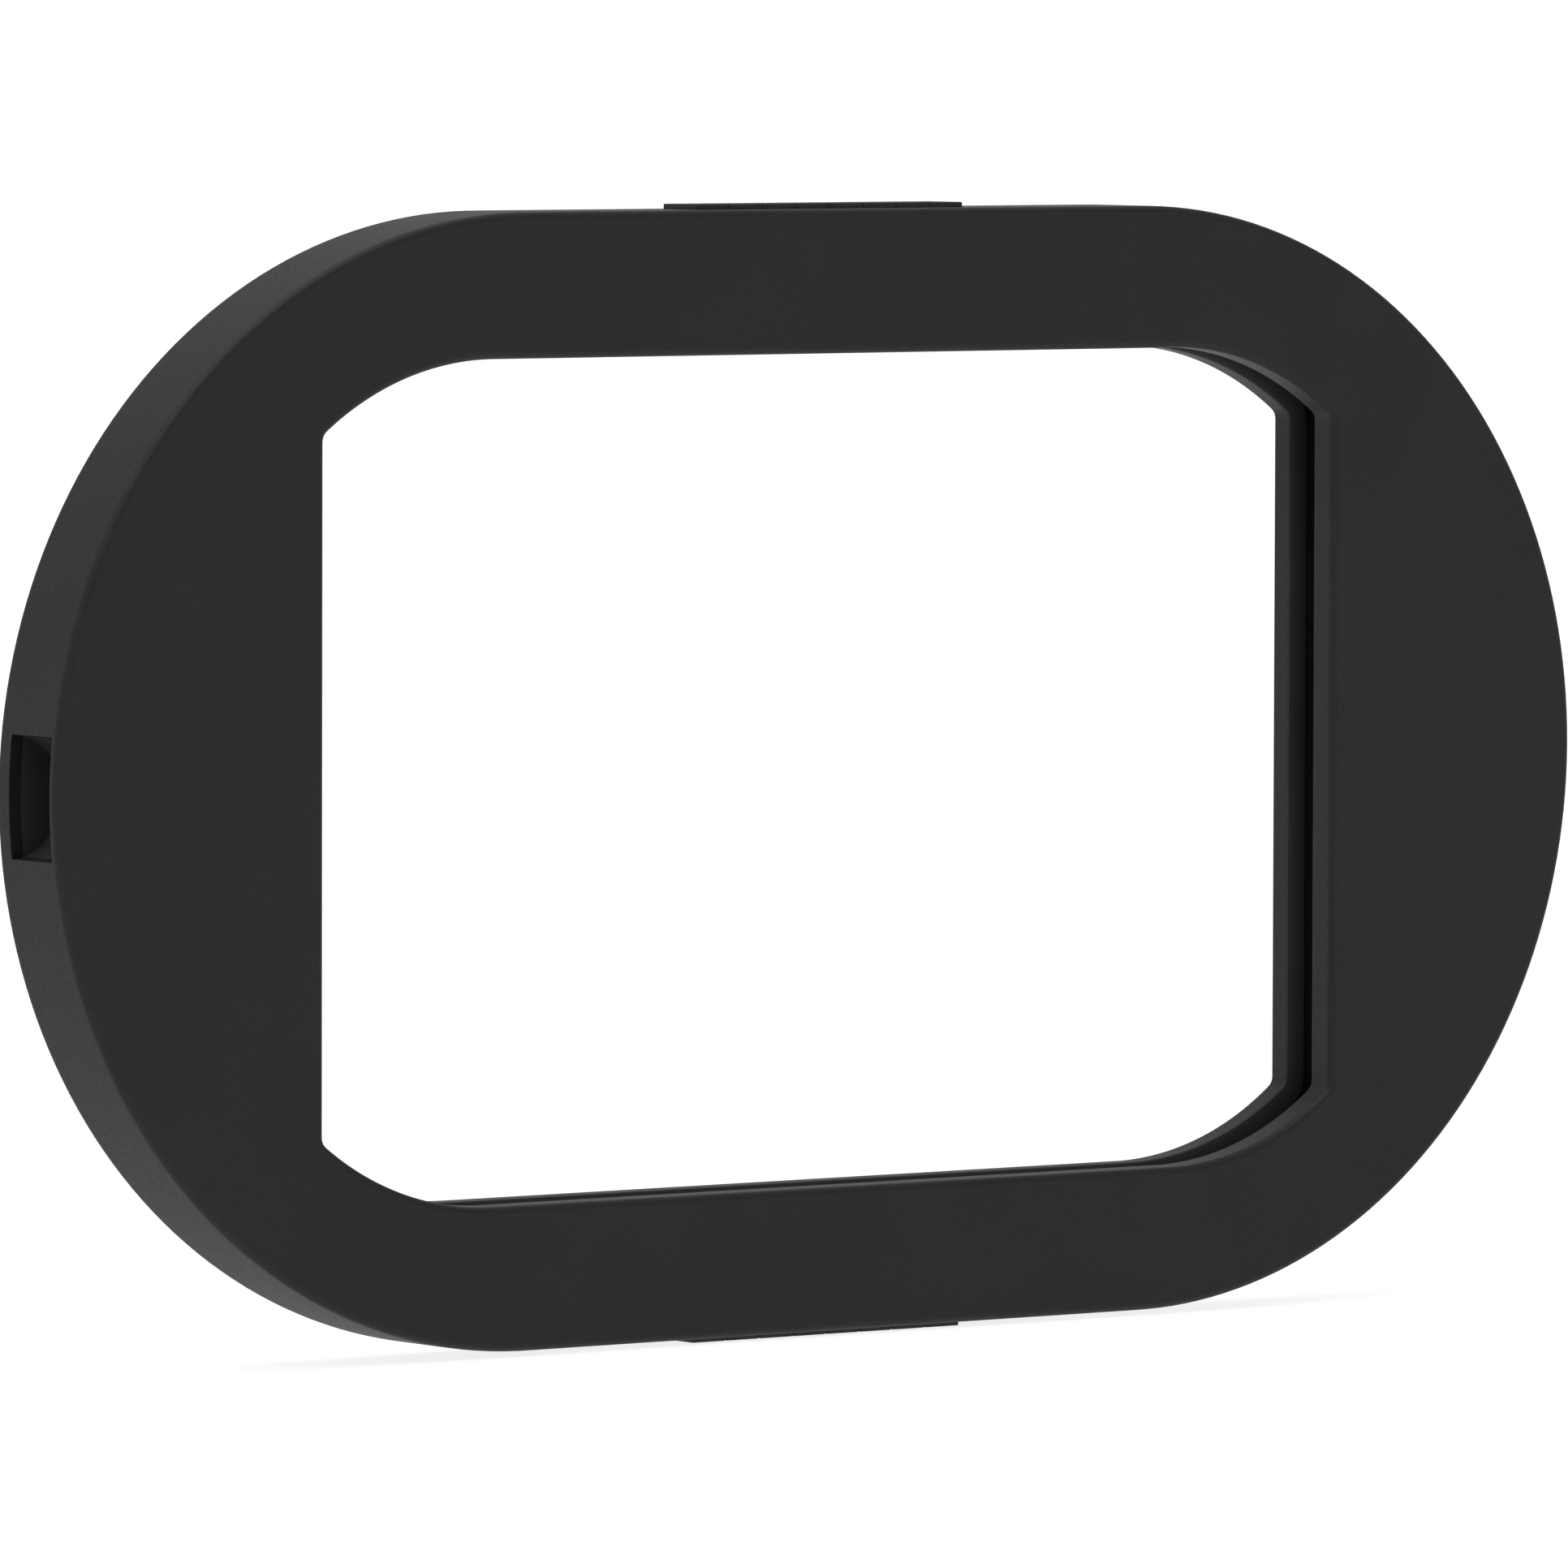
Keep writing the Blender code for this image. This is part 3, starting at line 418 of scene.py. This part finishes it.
def thumbCup(side, name):
    # A half-round cup about the notch's axis, trimmed by the inside of the housing, with a flat
    # tongue to the leaf.
    middle = [(side * halfLength, 0.0)]
    rear = depth - notch["rearWall"]
    sides = roundSides["notch"]
    piece = posts(name, middle, notch["radius"] + cup["wall"], cup["front"], rear + cup["web"], sides)
    root, tip = halfLength, halfLength - notch["radius"] - cup["wall"] - cup["tongue"]
    left, right = sorted((side * root, side * tip))
    tongue = (left, right, -cup["tongueHalf"], cup["tongueHalf"])
    carve(piece, blocks("tongue", [tongue], cup["tongueFront"], cup["tongueRear"]), "UNION")
    carve(piece, posts("hollow", middle, notch["radius"], cup["front"] - beyond, rear, sides))
    line = outline[0]
    ring = line[:, :2] - cup["inset"] * line[:, 2:]
    levels = [place(ring[:, 0], np.full(len(ring), t), ring[:, 1]) for t in (-beyond, depth + beyond)]
    limit = facingOut(gridPiece("limit", np.array(levels), capEnds=True))
    carve(piece, limit, "INTERSECT")
    body = "left" if side < 0 else "right"
    rivets = [nodeMiddle(f"{body}_{which}_rivet") for which in ("upper", "lower")]
    holes = posts("rivet_holes", rivets, cup["hole"], cup["front"], rear, roundSides["hole"])
    return carve(piece, holes)


for side, body in ((-1, "left"), (1, "right")):
    piece = thumbCup(side, f"{body}_cup")
    finishPiece(piece, cupAndGroovePaintedLight, f"{body}_shutter", "housing_plastic", f"{body}_thumb_cup")
print("thumb cups made")


softEdge = dict(corner=0.95, overLeaf=0.4, endRound=1.1, ringSteps=9, endSteps=8)


def roundedRing(halfWide, halfDeep, corner, steps):
    # A rectangle with quarter-circle corners, as offsets from its middle.
    turn = np.linspace(0, pi / 2, steps + 1)
    ring = []
    for i, (sx, sy) in enumerate(((1, 1), (-1, 1), (-1, -1), (1, -1))):
        angle = turn + i * pi / 2
        across = sx * (halfWide - corner) + corner * np.cos(angle)
        ring.append(np.stack([across, sy * (halfDeep - corner) + corner * np.sin(angle)], -1))
    return np.concatenate(ring)


def softStrip(name, node, upright, way):
    # The ring is carried along a straight line, and shrinks at both ends along a quarter circle.
    low, high = (np.array(corner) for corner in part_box(node))
    middle, half = (low + high) / 2, (high - low) / 2
    grow = softEdge["overLeaf"] * mm / 2
    along, wide = (2, 0) if upright else (0, 2)
    middle[wide] += way * grow
    half[wide] += grow
    ring = roundedRing(half[wide], half[1], softEdge["corner"] * mm, softEdge["ringSteps"])
    turn = np.linspace(0, pi / 2, softEdge["endSteps"] + 1)[:-1]
    endRound = softEdge["endRound"] * mm
    inset = endRound * (1 - np.cos(turn))
    step = endRound * (1 - np.sin(turn))
    at = np.concatenate([-half[along] + step[::-1], half[along] - step])
    drawn = np.concatenate([inset[::-1], inset])
    shrink = 1 - drawn[:, None] / np.array([half[wide], half[1]])
    points = np.zeros((len(at), len(ring), 3))
    points[:, :, along] = at[:, None]
    points[:, :, wide] = ring[None, :, 0] * shrink[:, None, 0]
    points[:, :, 1] = ring[None, :, 1] * shrink[:, None, 1]
    return facingOut(gridPiece(name, points + middle, capEnds=True))


edges = (("left", True, -1), ("right", True, 1), ("top", False, 1), ("bottom", False, -1))
for body, upright, way in edges:
    node = f"{body}_leaf_soft_edge"
    piece = softStrip(f"{body}_edge_channel", node, upright, way)
    finishPiece(piece, mattRubber, f"{body}_shutter", "soft_rubber", node)
print("soft edges made")


strip = dict(blocks=8, groove=0.5, slope=0.08, rise=0.95, corner=0.14, ringSteps=5, endRound=0.12)


def gripStrip(name, node, way):
    # A rounded ring carried along the strip. Its outer side drops to the floor of each groove over a
    # short slope at either side, and a little at both ends.
    low, high = (np.array(corner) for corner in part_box(node))
    middle, half = (low + high) / 2, (high - low) / 2
    length = 2 * half[0]
    groove, slope = strip["groove"] * mm / 2, strip["slope"] * mm
    grooves = low[0] + length / strip["blocks"] * np.arange(1, strip["blocks"])
    stops = grooves[:, None] + np.array([-groove - slope, -groove, groove, groove + slope])[None, :]
    endRound = strip["endRound"] * mm
    ends = [low[0], low[0] + endRound / 3, low[0] + endRound]
    farEnds = [low[0] + length - endRound, low[0] + length - endRound / 3, high[0]]
    along = np.concatenate([ends, stops.ravel(), farEnds])
    fall = np.tile([0, 1, 1, 0], len(grooves)) * strip["rise"] * mm
    drop = np.concatenate([[endRound, endRound / 3, 0], fall, [0, endRound / 3, endRound]])
    ring = roundedRing(half[1], half[2], strip["corner"] * mm, strip["ringSteps"])
    points = np.zeros((len(along), len(ring), 3))
    points[:, :, 0] = along[:, None]
    points[:, :, 1] = middle[1] + ring[None, :, 0]
    outside = ring[:, 1] * way > 0
    points[:, :, 2] = middle[2] + ring[None, :, 1] - np.where(outside[None, :], drop[:, None] * way, 0)
    return facingOut(gridPiece(name, points, capEnds=True))


for body, way in (("top", 1), ("bottom", -1)):
    node = f"{body}_grip_strip"
    finishPiece(gripStrip(f"{body}_grip", node, way), mattRubber, "housing", "soft_rubber", node)
print("grip strips made")


screw = dict(head=2.3, headDeep=1.3, shank=1.25, socket=1.0, socketDeep=0.85, chamfer=0.25, sides=60)


def screwPiece(name, node):
    # A profile of radius and depth turned about the screw's axis. In the socket the radius follows
    # a hexagon.
    low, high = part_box(node)
    x, z = nodeMiddle(node)
    rear, tip = (high.y - frontY) / mm, (low.y - frontY) / mm
    turn = np.linspace(0, 2 * pi, screw["sides"], endpoint=False)
    hexagon = cos(pi / 6) / np.cos((turn % (pi / 3)) - pi / 6)
    c, under = screw["chamfer"], rear - screw["headDeep"]
    profile = [
        (0.05, rear - screw["socketDeep"] - 0.15, 0), (screw["socket"], rear - screw["socketDeep"], 1),
        (screw["socket"], rear - 0.1, 1), (screw["socket"] + 0.12, rear, 0.8),
        (screw["head"] - c, rear, 0),
        (screw["head"] - c / 3, rear - c / 3, 0), (screw["head"], rear - c, 0), (screw["head"], under, 0),
        (screw["shank"], under, 0), (screw["shank"], tip + 0.3, 0), (screw["shank"] - 0.3, tip, 0),
        (0.05, tip, 0),
    ]
    r, t, k = (column[:, None] for column in np.array(profile).T)  # k is how far the ring is a hexagon
    reach = r * (1 + k * (hexagon - 1))
    points = place(reach * np.cos(turn) + x, t + 0 * reach, reach * np.sin(turn) + z)
    return facingOut(gridPiece(name, points, capEnds=True))


for i in range(1, 9):
    node = f"cover_screw_{i}"
    finishPiece(screwPiece(f"socket_screw_{i}", node), blackOxide, "housing", "screw_steel", node)
print("screws made")


keptFinishes = {  # by a part of the node's name
    "_leaf": anodisedBlack, "divider_plate": anodisedBlack, "_rail": acetalBlack,
    "_spring": springSteel, "magnet_": brightNickel, "_rivet": plainAluminium,
}
for name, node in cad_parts.items():
    if node.hide_render:
        continue
    finish = next((finish for part, finish in keptFinishes.items() if part in name), mouldedBlack)
    for one in node.material_slots:
        one.material = finish
    if not node.material_slots:
        node.data.materials.append(finish)
print("kept nodes finished")


floorSpec = dict(radius=90.0, sides=96, dark="#848484", light="#868686", patch=400.0, glow=0.84)
turn = np.linspace(0, 2 * pi, floorSpec["sides"] + 1)[:-1]
rim = np.stack([floorSpec["radius"] * np.cos(turn), floorSpec["radius"] * np.sin(turn), 0 * turn], -1)
floor = makeObject("floor", rim, [list(range(floorSpec["sides"]))])
# Opal acrylic over lamps, as on a light table: it glows, so shadows stay faint.
floorPaint, tree, shader, where = startFinish("opal acrylic table", {
    "Roughness": 0.9, "Specular IOR Level": 0.1,
    "Emission Color": (1, 1, 1, 1), "Emission Strength": floorSpec["glow"],
})
stops = ((noise["low"], linear(floorSpec["dark"])), (noise["high"], linear(floorSpec["light"])))
tree.links.new(ramp(tree, grain(tree, where, floorSpec["patch"]), stops), shader.inputs["Base Color"])
floor.data.materials.append(floorPaint)

# The sky brightens from the front to the rear between two values of a direction's Y.
studio = dict(
    frontSky=0.50, rearSky=0.78, frontFrom=-0.15, rearFrom=0.55, sun=1.6, sunSpread=60, sunTilt=(8, -14),
)
world = bpy.data.worlds.new("studio")
bpy.context.scene.world = world
world.use_nodes = True
direction = addNode(world.node_tree, "ShaderNodeTexCoord").outputs["Generated"]
side = addNode(world.node_tree, "ShaderNodeSeparateXYZ", links={"Vector": direction}).outputs["Y"]
values = {
    "From Min": studio["frontFrom"], "From Max": studio["rearFrom"],
    "To Min": studio["frontSky"], "To Max": studio["rearSky"],
}
smooth = {"interpolation_type": "SMOOTHSTEP"}
brightness = addNode(world.node_tree, "ShaderNodeMapRange", smooth, values, {"Value": side})
background = world.node_tree.nodes["Background"]
background.inputs["Color"].default_value = (1, 1, 1, 1)
world.node_tree.links.new(brightness.outputs["Result"], background.inputs["Strength"])
sunData = bpy.data.lights.new("overhead", "SUN")
sunData.energy, sunData.angle = studio["sun"], radians(studio["sunSpread"])
sun = bpy.data.objects.new("overhead", sunData)
sun.rotation_euler = [radians(angle) for angle in (*studio["sunTilt"], 0)]
bpy.context.scene.collection.objects.link(sun)

viewpoint = dict(
    position=(-1.575676, -2.109405, 0.245705), yaw=0.63967, pitch=0.05597, roll=0.00277, lens=339.15,
)
cameraData = bpy.data.cameras.new("camera")
cameraData.lens, cameraData.sensor_width = viewpoint["lens"], 36.0
cameraData.clip_start, cameraData.clip_end = 0.1, 300.0
camera = bpy.data.objects.new("camera", cameraData)
yaw, pitch, roll = viewpoint["yaw"], viewpoint["pitch"], viewpoint["roll"]
ahead = Vector((sin(yaw) * cos(pitch), cos(yaw) * cos(pitch), -sin(pitch)))
level = Vector((cos(yaw), -sin(yaw), 0))
upright = level.cross(ahead)
right = cos(roll) * level + sin(roll) * upright
up = cos(roll) * upright - sin(roll) * level
turned = Matrix((right, up, -ahead)).transposed().to_4x4()
camera.matrix_world = Matrix.Translation(viewpoint["position"]) @ turned
bpy.context.scene.collection.objects.link(camera)
bpy.context.scene.camera = camera
bpy.context.scene.view_settings.view_transform = "Standard"
print("floor, light and camera made")
